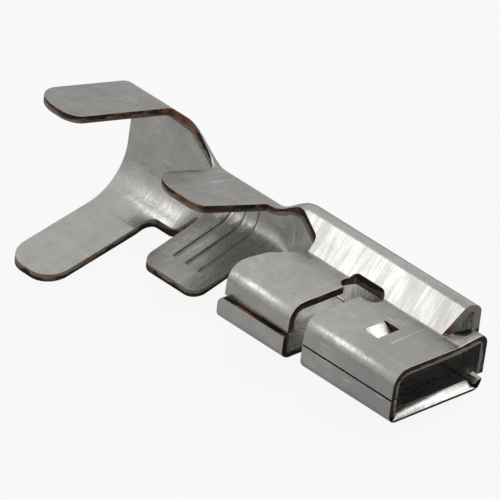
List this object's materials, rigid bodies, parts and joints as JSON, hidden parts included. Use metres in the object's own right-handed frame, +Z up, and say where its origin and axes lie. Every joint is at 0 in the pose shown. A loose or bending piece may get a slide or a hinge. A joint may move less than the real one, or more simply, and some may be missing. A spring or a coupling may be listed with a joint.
{
  "type": "crimp socket contact",
  "caption": "Folded sheet socket contact: slotted box with a side rib and a pressed tongue, open wire crimp and wider open insulation crimp.",
  "frame": {"origin": "centre of the bounding box's footprint, on the surface that the contact lies on", "axes": "+X along the contact towards the mouth, tipped down by the resting pose; +Y towards the rib and the spine; +Z up, away from the surface"},
  "size_m": [0.0142, 0.0052, 0.0052],
  "materials": {
    "tin_plate": "satin tin plate over copper alloy, bare alloy on the sheared edges"
  },
  "bodies": {
    "root": {"socket_contact": "tin_plate"}
  },
  "joints": []
}
